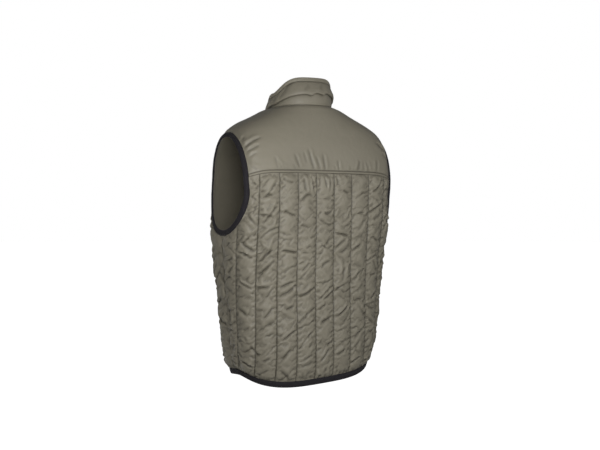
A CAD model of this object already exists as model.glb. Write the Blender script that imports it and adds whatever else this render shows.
import math
import bmesh
import bpy
import numpy as np
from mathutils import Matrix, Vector


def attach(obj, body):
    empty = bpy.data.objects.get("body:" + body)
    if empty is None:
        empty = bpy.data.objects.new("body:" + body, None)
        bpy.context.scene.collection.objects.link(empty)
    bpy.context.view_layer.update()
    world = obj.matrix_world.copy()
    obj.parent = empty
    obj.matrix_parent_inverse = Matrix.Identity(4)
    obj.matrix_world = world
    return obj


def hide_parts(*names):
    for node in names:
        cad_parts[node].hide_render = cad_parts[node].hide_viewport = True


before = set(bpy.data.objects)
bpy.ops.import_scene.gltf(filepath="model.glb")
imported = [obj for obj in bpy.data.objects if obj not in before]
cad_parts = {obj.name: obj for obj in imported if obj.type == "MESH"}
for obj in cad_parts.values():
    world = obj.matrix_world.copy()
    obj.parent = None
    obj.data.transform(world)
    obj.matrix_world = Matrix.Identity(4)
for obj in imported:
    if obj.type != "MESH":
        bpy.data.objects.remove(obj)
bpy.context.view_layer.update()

# The worn vest's form, in millimetres: level rings of the cloth's inner face, from the hem to the neck.
# Each row holds the heights at the back, side and front, half the width, the depth behind and before the
# neck's axis, how square the ring is behind and before, and how late it turns to the side's height.
ringColumns = ["zBack", "zSide", "zFront", "half", "back", "front",
               "squareBack", "squareFront", "turnBack", "turnFront"]
col = {name: i for i, name in enumerate(ringColumns)}
bodyRings = np.array([
    [-650, -616, -632, 164, 104, 122, 2.5, 2.4, 4, 3],
    [-636, -602, -618, 168, 106, 125, 2.5, 2.4, 4, 3],
    [-612, -584, -598, 176, 111, 130, 2.5, 2.4, 4, 3],
    [-575, -560, -566, 181, 113, 133, 2.6, 2.4, 4, 3],
    [-500, -500, -500, 189, 112, 134, 2.7, 2.5, 4, 3],
    [-420, -420, -420, 197, 110, 135, 2.8, 2.6, 4, 3],
    [-340, -340, -340, 204, 112, 136, 3.1, 2.7, 4, 3],
    [-290, -290, -290, 208, 114, 137, 3.6, 2.8, 4, 3],
    [-220, -224, -222, 209, 115, 135, 4.6, 2.9, 4, 3],
    [-163, -175, -168, 209, 114, 129, 5.2, 2.9, 4, 3],
    [-107, -124, -124, 207, 105, 121, 4.6, 2.8, 3, 4],
    [-63, -77, -106, 199, 93, 112, 3.2, 2.5, 2.4, 5.5],
    [-39, -52, -97, 175, 85, 105, 2.5, 2.3, 2.2, 6],
    [-18, -30, -88, 130, 77, 99, 2.2, 2.2, 2.4, 6],
    [-4, -10, -80, 89, 71, 95, 2.05, 2.05, 4, 5],
    [-2, -8, -77, 73, 69, 93, 2.0, 2.0, 6, 4],
], float)
collarRings = np.array([
    [-2, -8, -77, 73, 69, 93, 2.0, 2.0, 6, 4],
    [20, 4, -56, 73, 67, 88, 2.0, 2.0, 5.8, 4.2],
    [42, 17, -35, 72.5, 64, 83, 2.0, 2.0, 5.6, 4.6],
    [65, 30, -14, 72, 61, 79, 2.0, 2.0, 5.4, 5],
], float)
# The rings where pieces meet
hemLevel = 1
yokeLevel = 9
neckLevel = len(bodyRings) - 1
topLevel = neckLevel + len(collarRings) - 1
form = {"hemLean": 0.09, "leanFrom": -380, "leanFull": -620, "seamGap": 0.02, "zipClearance": 6,
        "overNeck": 0.001, "underNeck": 0.02, "backSteps": 1500}
# The armhole's outline, seen from the side. It cuts only the cloth further out than sideFrom.
armhole = {"y": 7, "z": -190, "backReach": 90, "frontReach": 88, "up": 122, "down": 116,
           "upRound": 2.1, "downRound": 2.2, "sideFrom": 110, "outlinePoints": 240, "farAway": 999.0}
metre = 0.001  # this form's unit, the millimetre, in metres


def smooth(x):
    t = np.clip(x, 0, 1)
    return t * t * (3 - 2 * t)


def mix(a, b, t):
    return a + (b - a) * t


# A smooth curve through a table's rows
def rowAt(rows, t):
    t = np.asarray(t, float)
    i = np.clip(np.floor(t).astype(int), 0, len(rows) - 2)
    f = (t - i)[..., None]
    longer = np.vstack([2 * rows[0] - rows[1], rows, 2 * rows[-1] - rows[-2]])
    a, b, c, d = (longer[i + k] for k in range(4))
    return b + 0.5 * f * (c - a + f * (2 * a - 5 * b + 4 * c - d + f * (3 * (b - c) + d - a)))


def ringAt(level):
    level = np.asarray(level, float)
    body = rowAt(bodyRings, np.minimum(level, neckLevel))
    neck = rowAt(collarRings, np.maximum(level - neckLevel, 0))
    return np.where((level <= neckLevel)[..., None], body, neck)


# phi is 0 at the vest's own left and a quarter turn at the back
def pointOn(ring, phi):
    c, s = np.cos(phi), np.sin(phi)
    behind = s >= 0

    def pick(a, b):
        return np.where(behind, ring[..., col[a]], ring[..., col[b]])

    square = pick("squareBack", "squareFront")
    reach = (np.abs(c) ** square + np.abs(s) ** square) ** (-1 / square)
    side = np.abs(c) ** pick("turnBack", "turnFront")
    z = ring[..., col["zSide"]] * side + pick("zBack", "zFront") * (1 - side)
    x = ring[..., col["half"]] * reach * c
    lean = form["hemLean"] * smooth((form["leanFrom"] - z) / (form["leanFrom"] - form["leanFull"]))
    return np.stack([x, pick("back", "front") * reach * s, z - lean * x], -1)


def clothPoint(phi, level):
    phi, level = np.broadcast_arrays(phi, level)
    return pointOn(ringAt(level), phi)


def unit(v):
    return v / np.maximum(np.linalg.norm(v, axis=-1, keepdims=True), 1e-9)


def clothNormal(phi, level):
    turn, rise = 0.01, 0.02
    phi, level = np.broadcast_arrays(phi, level)
    onCollar = level > neckLevel
    collarStart = neckLevel + form["overNeck"]
    low = np.where(onCollar, np.maximum(level - rise, collarStart), level - rise)
    high = np.where(onCollar, level + rise, np.minimum(level + rise, neckLevel))
    around = clothPoint(phi + turn, level) - clothPoint(phi - turn, level)
    return unit(np.cross(around, clothPoint(phi, high) - clothPoint(phi, low)))


# Lengths along a row of points, from its first
def lengthsAlong(points):
    return np.concatenate([[0], np.cumsum(np.linalg.norm(np.diff(points, axis=0), axis=1))])


# Lengths round each level from the centre back to the centre front
lengthSteps = 720
turns = np.linspace(0, math.pi, lengthSteps + 1)


def lengthsAt(levels):
    p = clothPoint(math.pi / 2 - turns[None, :], np.asarray(levels, float)[:, None])
    steps = np.linalg.norm(np.diff(p, axis=1), axis=2)
    return np.concatenate([np.zeros((len(p), 1)), np.cumsum(steps, axis=1)], axis=1)


# The angle at a length from the centre back: positive towards the vest's left
def anglesAt(lengths, s):
    turned = np.stack([np.interp(np.abs(row), lengths[j], turns) for j, row in enumerate(s)])
    return np.where(s >= 0, math.pi / 2 - turned, math.pi / 2 + turned)


def levelAtBack(height):
    levels = np.linspace(0, neckLevel, form["backSteps"] + 1)
    return np.interp(height, rowAt(bodyRings, levels)[:, col["zBack"]], levels)


# Under 1 inside the armhole, seen from the side
def armholeField(y, z):
    across = np.where(y >= armhole["y"], armhole["backReach"], armhole["frontReach"])
    up = z >= armhole["z"]
    tall = np.where(up, armhole["up"], armhole["down"])
    power = np.where(up, armhole["upRound"], armhole["downRound"])
    return np.abs((y - armhole["y"]) / across) ** power + np.abs((z - armhole["z"]) / tall) ** power


def armholeOutline(turn):
    c, s = np.cos(turn), np.sin(turn)
    power = np.where(s >= 0, armhole["upRound"], armhole["downRound"])
    reach = (np.abs(c) ** power + np.abs(s) ** power) ** (-1 / power)
    across = np.where(c >= 0, armhole["backReach"], armhole["frontReach"])
    tall = np.where(s >= 0, armhole["up"], armhole["down"])
    return armhole["y"] + across * reach * c, armhole["z"] + tall * reach * s


outlineTurns = np.linspace(0, 2 * math.pi, armhole["outlinePoints"], endpoint=False)
outlineY, outlineZ = armholeOutline(outlineTurns)


def armholeDistance(p):
    flat = p.reshape(-1, 3)
    away = np.full(len(flat), armhole["farAway"])
    near = np.abs(flat[:, 0]) > armhole["sideFrom"]
    dy = flat[near, 1][:, None] - outlineY[None, :]
    dz = flat[near, 2][:, None] - outlineZ[None, :]
    away[near] = np.sqrt((dy * dy + dz * dz).min(axis=1))
    return away.reshape(p.shape[:-1])


# Smooth random hills, the same each run
def hills(u, v, seed):
    rng = np.random.default_rng(seed)
    size, offset, tall = 64, 40, 1.4
    u, v = u + offset, v + offset
    angle = rng.uniform(0, 2 * math.pi, (size, size))
    iu, iv = np.floor(u).astype(int), np.floor(v).astype(int)
    fu, fv = u - iu, v - iv

    def corner(a, b):
        w = angle[(iu + a) % size, (iv + b) % size]
        return np.cos(w) * (fu - a) + np.sin(w) * (fv - b)

    su, sv = smooth(fu), smooth(fv)
    return mix(mix(corner(0, 0), corner(1, 0), su), mix(corner(0, 1), corner(1, 1), su), sv) * tall


# The yoke's seam dips behind each armhole, and the cloth near it goes along: levels to take off
seamDip = {"from": 138, "to": 194, "deep": 0.16, "reach": 70, "most": 1.1, "past": 60}


def dipAt(s, away):
    share = (np.abs(s) - seamDip["from"]) / (seamDip["to"] - seamDip["from"])
    share = np.clip(share, 0, seamDip["most"])
    behind = np.abs(s) < seamDip["to"] + seamDip["past"]
    return seamDip["deep"] * share ** 2 * (1 - smooth(away / seamDip["reach"])) * behind


# Folds: each row is s0, h0, s1, h1, bow, deep, wide. A fold runs from (s0, h0) down to (s1, h1),
# millimetres from the centre back and up the cloth, with how far its middle bows, how deep it is and how
# wide. A soft ridge lies above each trough and a lower one below it, placed in shares of its width.
foldShape = {"ridgeAt": 2.1, "ridgeWide": 1.3, "ridgeTall": 0.75, "lipAt": 2.3, "lipWide": 1.6,
             "lipTall": 0.3, "past": 0.12, "fade": 0.35, "reach": 5}


def foldRelief(s, h, folds):
    relief = np.zeros(s.shape)
    past, fade = foldShape["past"], foldShape["fade"]
    for s0, h0, s1, h1, bow, deep, wide in folds:
        reach = foldShape["reach"] * wide + abs(bow)
        inside = (s > min(s0, s1) - reach) & (s < max(s0, s1) + reach)
        inside &= (h > min(h0, h1) - reach) & (h < max(h0, h1) + reach)
        if not inside.any():
            continue
        ds, dh = s1 - s0, h1 - h0
        length = math.hypot(ds, dh)
        u = ((s[inside] - s0) * ds + (h[inside] - h0) * dh) / length ** 2
        v = ((h[inside] - h0) * ds - (s[inside] - s0) * dh) / length
        v = (v - 4 * bow * u * (1 - u)) * (1 if ds >= 0 else -1)
        ends = smooth((u + past) / fade) * smooth((1 + past - u) / fade)
        trough = np.exp(-(v / wide) ** 2)
        above = np.exp(-((v - foldShape["ridgeAt"] * wide) / (foldShape["ridgeWide"] * wide)) ** 2)
        below = np.exp(-((v + foldShape["lipAt"] * wide) / (foldShape["lipWide"] * wide)) ** 2)
        raised = foldShape["ridgeTall"] * above + foldShape["lipTall"] * below
        relief[inside] += deep * ends * (raised - trough)
    return relief


# Faces over a grid of vertex numbers whose clamped columns share a vertex
def gridFaces(index):
    a, b = index[:-1, :-1].ravel(), index[:-1, 1:].ravel()
    c, d = index[1:, 1:].ravel(), index[1:, :-1].ravel()
    faces = []
    for quad in np.stack([a, b, c, d], 1).tolist():
        corners = [quad[i] for i in range(4) if quad[i] != quad[i - 1]]
        if len(set(corners)) >= 3:
            faces.append(corners)
    return faces


# Edges that only one face has
def openEdges(faces):
    edges = {}
    for face in faces:
        for i in range(len(face)):
            a, b = face[i - 1], face[i]
            if (b, a) in edges:
                del edges[(b, a)]
            else:
                edges[(a, b)] = True
    return list(edges)


# A mesh object from points in this form's unit, turned to face outwards
def meshObject(name, points, faces, uv=None, masks=None, sharp=50):
    p = np.asarray(points, float)
    volume = 0.0
    for face in faces:
        for k in range(1, len(face) - 1):
            volume += np.dot(p[face[0]], np.cross(p[face[k]], p[face[k + 1]]))
    if volume < 0:
        faces = [face[::-1] for face in faces]
    mesh = bpy.data.meshes.new(name)
    mesh.from_pydata((p * metre).tolist(), [], faces)
    if uv is not None:
        layer = mesh.uv_layers.new(name="cloth")
        corner = np.zeros(len(mesh.loops), np.int32)
        mesh.loops.foreach_get("vertex_index", corner)
        layer.data.foreach_set("uv", (uv[corner] * metre).astype(np.float32).ravel())
    for maskName, values in (masks or {}).items():
        attribute = mesh.attributes.new(maskName, "FLOAT", "POINT")
        attribute.data.foreach_set("value", values.astype(np.float32))
    mesh.shade_smooth()
    mesh.set_sharp_from_angle(angle=math.radians(sharp))
    return linked(name, mesh)


def linked(name, data):
    made = bpy.data.objects.new(name, data)
    bpy.context.scene.collection.objects.link(made)
    return made


# The points that a clamped grid uses, and the grid numbered by them
def compacted(index):
    used = np.unique(index)
    place = np.zeros(index.max() + 1, int)
    place[used] = np.arange(len(used))
    return used, place[index]


# A wall of cloth: its outer side, its inner side and the rim that joins them
def clothShell(name, outer, inner, index, uv, masks):
    used, index = compacted(index)
    outerFaces = gridFaces(index)
    count = len(used)
    innerFaces = [[v + count for v in face[::-1]] for face in outerFaces]
    rim = [[b, a, a + count, b + count] for a, b in openEdges(outerFaces)]
    points = np.concatenate([outer.reshape(-1, 3)[used], inner.reshape(-1, 3)[used]])
    flatUv = uv.reshape(-1, 2)[used]
    both = {key: np.concatenate([m.ravel()[used], np.zeros(count)]) for key, m in masks.items()}
    return meshObject(name, points, outerFaces + innerFaces + rim, np.concatenate([flatUv, flatUv]), both)


# Caps for a band's two ends, turned to suit its sides
def endCaps(sides, index):
    free = set(openEdges(sides))
    caps = [index[0].tolist(), index[-1][::-1].tolist()]
    return [cap if (cap[1], cap[0]) in free else cap[::-1] for cap in caps]


# A band through cross-sections of the same number of points, closed on itself or capped
def bandObject(name, sections, closed, along):
    rows, around = sections.shape[:2]
    girth, sharp = 20, 40
    index = np.arange(rows * around).reshape(rows, around)
    grid = np.concatenate([index, index[:1]]) if closed else index
    faces = gridFaces(np.concatenate([grid, grid[:, :1]], axis=1))
    if not closed:
        faces += endCaps(faces, index)
    across = np.linspace(0, girth, around)
    uv = np.stack(np.broadcast_arrays(along[:, None], across[None, :]), -1).reshape(-1, 2)
    return meshObject(name, sections.reshape(-1, 3), faces, uv, None, sharp)


print("stage: form ready")


# Sockets are linked and values set, by the input's name or number
def feed(tree, node, inputs):
    for label, value in dict(inputs).items():
        if isinstance(value, bpy.types.NodeSocket):
            tree.links.new(value, node.inputs[label])
        else:
            node.inputs[label].default_value = value
    return node


def newNode(tree, kind, inputs=(), **settings):
    node = tree.nodes.new(kind)
    for name, value in settings.items():
        setattr(node, name, value)
    return feed(tree, node, inputs)


def mathNode(tree, kind, *values, clamp=False):
    return newNode(tree, "ShaderNodeMath", enumerate(values), operation=kind, use_clamp=clamp).outputs[0]


# Shader groups that several finishes share
def newGroup(name, inputs, outputs):
    group = bpy.data.node_groups.new(name, "ShaderNodeTree")
    for label, kind, value in inputs:
        socket = group.interface.new_socket(name=label, in_out="INPUT", socket_type=kind)
        if value is not None:
            socket.default_value = value
    for label, kind in outputs:
        group.interface.new_socket(name=label, in_out="OUTPUT", socket_type=kind)
    return group, group.nodes.new("NodeGroupInput").outputs, group.nodes.new("NodeGroupOutput")


# Over-and-under threads: the height of a plain weave on the cloth's own lengths
def weaveGroup():
    group, given, put = newGroup(
        "plainWeave",
        [("Vector", "NodeSocketVector", None), ("Threads", "NodeSocketFloat", 1500.0)],
        [("Height", "NodeSocketFloat")])
    scaled = newNode(group, "ShaderNodeVectorMath", {0: given["Vector"], "Scale": given["Threads"]},
                     operation="SCALE").outputs[0]
    parts = newNode(group, "ShaderNodeSeparateXYZ", {0: scaled}).outputs
    checks = newNode(group, "ShaderNodeTexChecker", {"Scale": 1, "Vector": scaled})

    def ribs(axis):
        turned = mathNode(group, "MULTIPLY", parts[axis], math.pi)
        return mathNode(group, "ABSOLUTE", mathNode(group, "SINE", turned))

    picked = newNode(group, "ShaderNodeMix",
                     {"Factor": checks.outputs["Fac"], "A": ribs("X"), "B": ribs("Y")})
    feed(group, put, {"Height": picked.outputs["Result"]})
    return group


# Cloudy colour over a surface, darker in folds and at stitched lines
toneShares = {"cloudy": 0.5, "fold": 0.6, "seam": 0.75}


def toneGroup():
    group, given, put = newGroup(
        "clothTone",
        [("Vector", "NodeSocketVector", None), ("Light", "NodeSocketColor", (0.2, 0.2, 0.2, 1)),
         ("Dark", "NodeSocketColor", (0.1, 0.1, 0.1, 1)), ("Fold", "NodeSocketFloat", 0.0),
         ("Seam", "NodeSocketFloat", 0.0), ("Cloud", "NodeSocketFloat", 14.0)],
        [("Color", "NodeSocketColor"), ("Mask", "NodeSocketFloat")])
    cloud = newNode(group, "ShaderNodeTexNoise",
                    {"Detail": 4, "Vector": given["Vector"], "Scale": given["Cloud"]}).outputs["Fac"]
    cloudy = mathNode(group, "MULTIPLY", mathNode(group, "SUBTRACT", cloud, 0.5), toneShares["cloudy"])
    folded = mathNode(group, "MULTIPLY", given["Fold"], toneShares["fold"])
    seamed = mathNode(group, "MULTIPLY", given["Seam"], toneShares["seam"])
    mask = mathNode(group, "ADD", mathNode(group, "ADD", cloudy, folded), seamed, clamp=True)
    blend = newNode(group, "ShaderNodeMix", {"Factor": mask, 6: given["Light"], 7: given["Dark"]},
                    data_type="RGBA")
    feed(group, put, {"Color": blend.outputs[2], "Mask": mask})
    return group


plainWeave = weaveGroup()
clothTone = toneGroup()


def newMaterial(name):
    material = bpy.data.materials.new(name)
    material.use_nodes = True
    tree = material.node_tree
    return material, tree, tree.nodes["Principled BSDF"]


# What all the cloths share
clothShader = {"detail": 3, "roughSpread": 0.14, "bump": 0.7, "sheenRoughness": 0.45}


def clothMaterial(name, light, dark, look):
    material, tree, shader = newMaterial(name)
    where = newNode(tree, "ShaderNodeTexCoord").outputs
    fold = newNode(tree, "ShaderNodeAttribute", attribute_name="fold").outputs["Fac"]
    seam = newNode(tree, "ShaderNodeAttribute", attribute_name="seam").outputs["Fac"]
    tone = newNode(tree, "ShaderNodeGroup", {"Vector": where["Object"], "Light": light, "Dark": dark,
                                             "Fold": fold, "Seam": seam, "Cloud": look["cloud"]},
                   node_tree=clothTone)
    weave = newNode(tree, "ShaderNodeGroup", {"Vector": where["UV"], "Threads": look["threads"]},
                    node_tree=plainWeave)
    crumple = newNode(tree, "ShaderNodeTexNoise", {"Scale": look["crumple"], "Detail": clothShader["detail"],
                                                   "Vector": where["Object"]}).outputs["Fac"]
    spread = clothShader["roughSpread"]
    height = mathNode(tree, "ADD", mathNode(tree, "MULTIPLY", weave.outputs["Height"], look["weaveDeep"]),
                      mathNode(tree, "MULTIPLY", crumple, look["crumpleDeep"]))
    bump = newNode(tree, "ShaderNodeBump",
                   {"Strength": clothShader["bump"], "Distance": 1.0, "Height": height})
    feed(tree, shader, {
        "Base Color": tone.outputs["Color"],
        "Roughness": mathNode(tree, "MULTIPLY_ADD", crumple, spread, look["roughness"] - spread / 2),
        "Normal": bump.outputs["Normal"], "Sheen Weight": look["sheen"],
        "Sheen Roughness": clothShader["sheenRoughness"], "Specular IOR Level": look["gloss"]})
    return material


# A screen colour, 0 to 255, as the shader takes it
def linear(r, g, b):
    def one(c):
        c = c / 255
        return c / 12.92 if c <= 0.04045 else ((c + 0.055) / 1.055) ** 2.4
    return (one(r), one(g), one(b), 1.0)


shellLook = {"threads": 1400, "weaveDeep": 0.00006, "crumple": 160, "crumpleDeep": 0.0006, "cloud": 9,
             "roughness": 0.52, "sheen": 0.04, "gloss": 0.36}
shellCloth = clothMaterial("oliveNylon", linear(126, 121, 107), linear(52, 49, 40), shellLook)
yokeCloth = clothMaterial("oliveNylonYoke", linear(126, 121, 107), linear(52, 49, 40),
                          {**shellLook, "crumpleDeep": 0.0003, "roughness": 0.46})
elasticLook = {"threads": 900, "weaveDeep": 0.0002, "crumple": 260, "crumpleDeep": 0.0003, "cloud": 30,
               "roughness": 0.8, "sheen": 0.06, "gloss": 0.2}
elasticCloth = clothMaterial("blackElastic", linear(36, 34, 38), linear(16, 15, 18), elasticLook)
tapeLook = {**elasticLook, "threads": 1100, "sheen": 0.2}
tapeCloth = clothMaterial("zipTape", linear(58, 57, 50), linear(26, 25, 22), tapeLook)
threadLook = {"threads": 6000, "weaveDeep": 0.00005, "crumple": 900, "crumpleDeep": 0.0001, "cloud": 60,
              "roughness": 0.6, "sheen": 0.1, "gloss": 0.4}
shellThread = clothMaterial("oliveThread", linear(96, 92, 79), linear(60, 57, 47), threadLook)
darkThread = clothMaterial("blackThread", linear(40, 39, 42), linear(18, 18, 20), threadLook)

metalLook = {"wear": 700, "detail": 2, "darkAt": 0.3, "dark": (92, 88, 80), "lightAt": 0.75,
             "light": (122, 117, 106), "roughSpread": 0.12, "roughness": 0.32, "metallic": 0.85,
             "bump": 0.00004}


def zipMetalMaterial():
    material, tree, shader = newMaterial("darkZipMetal")
    where = newNode(tree, "ShaderNodeTexCoord").outputs["Object"]
    wear = newNode(tree, "ShaderNodeTexNoise", {"Scale": metalLook["wear"], "Detail": metalLook["detail"],
                                                "Vector": where}).outputs["Fac"]
    ramp = newNode(tree, "ShaderNodeValToRGB", {"Fac": wear})
    for element, shade in zip(ramp.color_ramp.elements, ("dark", "light")):
        element.position = metalLook[shade + "At"]
        element.color = linear(*metalLook[shade])
    bump = newNode(tree, "ShaderNodeBump", {"Distance": metalLook["bump"], "Height": wear})
    rough = mathNode(tree, "MULTIPLY_ADD", wear, metalLook["roughSpread"], metalLook["roughness"])
    feed(tree, shader, {"Base Color": ramp.outputs["Color"], "Roughness": rough,
                        "Metallic": metalLook["metallic"], "Normal": bump.outputs["Normal"]})
    return material


zipMetal = zipMetalMaterial()


def finishPiece(piece, material, body="vest", nodes=()):
    piece.data.materials.clear()
    piece.data.materials.append(material)
    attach(piece, body)
    if nodes:
        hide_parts(*nodes)
    return piece


print("stage: finishes ready")

# Quilted panels: padded channels between stitched lines, creased and puckered
quilt = {"channel": 48, "stitched": 1.8, "crown": 5.8, "roundness": 0.42, "pinch": 15, "pinched": 0.12,
         "columnStep": 2.4, "columns": 125, "rows": 196, "linesOnBack": 10, "linesOnFront": 4,
         "foldDepth": 1.2, "pucker": 1.05, "gather": 1.1, "crinkle": 1.05, "sideLine": 262, "threadUp": 0.15,
         "threadEnd": 1}
# How far the creases are held flat at the lines and edges, how the filling swells, and how the cloth's
# shades follow its hollows
padding = {"heldAtLine": 0.3, "heldAtEdge": 0.25, "edge": 9, "swell": 0.9, "swellWide": 31, "swellTall": 44,
           "hollowReach": 3, "hollowDeep": 2.2, "shadeAtLine": 0.2, "lineWide": 5, "seamWide": 0.8}
# The filled cloth's simulation: its own lengths are longer than the shell they start from by this share
filled = {"pressure": 5, "longer": 0.055, "frames": 20, "cap": 4.0, "mass": 0.05, "stiffness": 15,
          "shear": 4, "bending": 0.01, "quality": 4, "thinnest": 0.9, "sewnWithin": 0.6}

# The back's main folds as they show, from the left side to the right
backFolds = [
    # channel at the left side seam, soft upright folds
    [244, -452, 236, -520, 3, 1.8, 6], [232, -330, 240, -420, -3, 1.4, 6],
    [228, -535, 236, -590, 2, 1.6, 6], [246, -540, 250, -600, 0, 1.5, 5],
    [226, -470, 222, -505, 0, 1.4, 4],
    # bunched where the second channel meets the armhole
    [186, -178, 171, -192, 0, 2.2, 2.4], [170, -204, 187, -218, 1, 2.4, 2.6],
    [187, -214, 171, -231, 0, 2.2, 2.4], [169, -236, 185, -247, 0, 2.0, 2.6],
    [181, -226, 174, -250, 0, 1.6, 2.4],
    # second channel from the left
    [169, -190, 184, -198, -3, 2.2, 3], [191, -262, 174, -281, 0, 2.2, 3],
    [186, -300, 192, -308, 0, 2.2, 3], [172, -300, 178, -308, 0, 2.2, 3],
    [205, -318, 173, -342, 2, 2.6, 4], [201, -344, 190, -353, 0, 1.8, 3],
    [174, -389, 190, -407, 0, 1.8, 3], [211, -466, 187, -482, 0, 2.0, 4],
    [195, -530, 187, -541, 0, 1.6, 3], [214, -532, 197, -558, 0, 1.5, 4],
    [181, -552, 160, -574, 0, 2.8, 3], [211, -572, 200, -585, 0, 1.8, 3],
    # third channel, the long slanted folds
    [123, -176, 155, -224, 2, 2.8, 3], [142, -171, 164, -198, 1, 1.9, 2.5],
    [125, -231, 160, -279, -2, 2.8, 3], [121, -286, 162, -313, 4, 2.0, 3],
    [128, -314, 161, -366, -3, 2.9, 3], [125, -359, 166, -396, -2, 2.9, 3],
    [125, -393, 137, -404, 0, 1.6, 2.5], [148, -421, 166, -428, 0, 1.7, 3],
    [125, -422, 146, -446, 0, 2.0, 3], [129, -467, 151, -490, -1, 2.0, 3],
    [127, -496, 161, -517, 0, 2.3, 4.5], [125, -523, 147, -529, 0, 1.5, 3],
    [129, -549, 156, -573, 0, 2.0, 3.5], [137, -578, 150, -588, 0, 2.4, 3],
    [167, -242, 158, -252, 0, 1.4, 2.5],
    # fourth channel
    [104, -171, 118, -186, 0, 1.6, 2.5], [108, -249, 79, -260, 2, 1.8, 3],
    [85, -313, 99, -327, 0, 1.3, 4], [111, -341, 73, -347, -1, 2.8, 3], [100, -348, 115, -359, 0, 1.6, 3],
    [77, -375, 106, -394, 3, 1.9, 3], [100, -396, 114, -408, 0, 2.0, 2.5],
    [76, -411, 114, -427, 2, 1.9, 3], [71, -419, 114, -444, -2, 3.0, 4], [77, -464, 99, -473, 1, 1.8, 3],
    [73, -517, 109, -541, 0, 2.8, 3], [73, -553, 113, -584, 0, 2.4, 5], [112, -606, 90, -628, 0, 1.8, 4],
    # fifth channel
    [60, -168, 54, -205, 0, 1.6, 3], [36, -170, 30, -212, 0, 1.5, 3], [67, -283, 50, -285, 0, 1.4, 3],
    [44, -311, 26, -308, 0, 1.4, 3], [67, -344, 45, -346, 0, 1.5, 3], [41, -369, 60, -388, 0, 2.8, 3],
    [26, -424, 66, -446, -3, 2.9, 3.5], [28, -474, 55, -488, 0, 2.0, 3.5],
    [30, -500, 48, -512, 0, 1.6, 2.5], [52, -508, 68, -520, 0, 1.6, 2.5],
    [27, -520, 44, -535, 0, 1.8, 2.5], [50, -532, 66, -544, 0, 1.6, 3], [28, -548, 46, -562, 0, 2.0, 3],
    [34, -577, 58, -589, 0, 1.6, 3],
    # middle channel
    [14, -168, 20, -208, 0, 1.7, 3], [4, -168, -2, -200, 0, 1.5, 2.5], [-14, -168, -8, -207, 0, 1.5, 3],
    [-5, -243, -21, -243, 0, 1.4, 2.5], [19, -268, -14, -286, 0, 1.8, 3], [7, -329, 15, -335, 0, 1.5, 2.5],
    [7, -329, -5, -337, 0, 1.5, 2.5], [-20, -329, -5, -337, 0, 1.5, 2.5], [-13, -412, 8, -418, 0, 1.6, 3],
    [-50, -422, 5, -455, 0, 3.0, 3], [-2, -466, 17, -478, 0, 1.8, 3], [-18, -492, 10, -512, 0, 2.4, 5],
    [-21, -552, -4, -561, 0, 2.6, 3], [-20, -586, -5, -604, 0, 1.8, 3.5],
    # right of the middle
    [-30, -168, -38, -196, 0, 1.4, 3], [-27, -301, -62, -308, -1, 2.6, 3],
    [-69, -279, -50, -285, 0, 1.6, 3], [-69, -326, -44, -350, 0, 2.4, 5],
    [-51, -362, -46, -415, -2, 2.0, 4], [-41, -472, -29, -486, 0, 1.8, 3],
    [-66, -500, -40, -520, 0, 1.8, 4], [-62, -550, -34, -568, 0, 1.6, 4],
    [-165, -226, -108, -262, 0, 2.8, 3], [-86, -255, -102, -252, 0, 1.4, 3],
    [-97, -329, -75, -344, 0, 2.8, 3], [-140, -364, -160, -397, 0, 1.6, 4],
    [-93, -475, -160, -534, 3, 2.2, 4], [-110, -420, -90, -440, 0, 1.6, 4],
    [-150, -549, -156, -590, 0, 2.0, 5], [-168, -545, -172, -595, 0, 1.8, 5],
    [-100, -560, -84, -580, 0, 1.6, 4],
    # the side that the photo hides, in the same manner
    [-190, -250, -178, -290, 0, 2.0, 4], [-205, -330, -182, -352, 0, 2.2, 4],
    [-180, -440, -204, -470, 0, 2.0, 4], [-228, -380, -222, -440, 0, 1.8, 5],
    [-236, -500, -228, -570, 0, 1.8, 6], [-198, -610, -186, -590, 0, 1.5, 4],
]


# Ranges that the random folds are drawn from, in millimetres, slopes and shares
puckers = {"first": (2, 10), "long": (6, 17), "slope": (0.55, 0.5), "deep": (0.5, 1.6), "bow": (-1, 1),
           "wide": (1.7, 3.0), "apart": (7, 19), "offLine": 1.5}
gathers = {"first": 4, "tall": (10, 26), "sway": (-4, 4), "deep": (0.5, 1.4), "wide": (2.2, 3.4),
           "apart": (7, 16)}
slants = {"aboveHem": 5, "first": (10, 30), "start": (0.06, 0.45), "long": (0.3, 0.75), "slope": (0.2, 1.3),
          "downwards": 0.82, "upSlope": 0.5, "bow": (-3, 3), "deep": (1.2, 2.9), "wide": (2.5, 4.5),
          "apart": (14, 46)}


def highFirst(a, b):
    return sorted([a, b], key=lambda point: -point[1])


# Short puckers that spring from each stitched line, uneven in length and depth
def puckersAt(lines, low, high, seed, lean=1.0):
    rng = np.random.default_rng(seed)
    folds = []
    for line in lines:
        for side in (-1, 1):
            h = low + rng.uniform(*puckers["first"])
            while h < high:
                long = rng.uniform(*puckers["long"])
                slope = math.atan(rng.normal(*puckers["slope"]) * lean)
                start = line + side * puckers["offLine"]
                end = start + side * long * math.cos(slope)
                climb = -side * long * math.sin(slope)
                deep = quilt["pucker"] * rng.uniform(*puckers["deep"])
                upper, lower = highFirst((start, h), (end, h + climb))
                folds.append([*upper, *lower, rng.uniform(*puckers["bow"]), deep,
                              rng.uniform(*puckers["wide"])])
                h += rng.uniform(*puckers["apart"])
    return folds


# Short upright gathers where the elastic hem draws the cloth in
def gathersAt(first, last, low, seed):
    rng = np.random.default_rng(seed)
    folds = []
    s = first + gathers["first"]
    while s < last:
        folds.append([s, low + rng.uniform(*gathers["tall"]), s + rng.uniform(*gathers["sway"]), low, 0,
                      quilt["gather"] * rng.uniform(*gathers["deep"]), rng.uniform(*gathers["wide"])])
        s += rng.uniform(*gathers["apart"])
    return folds


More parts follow.
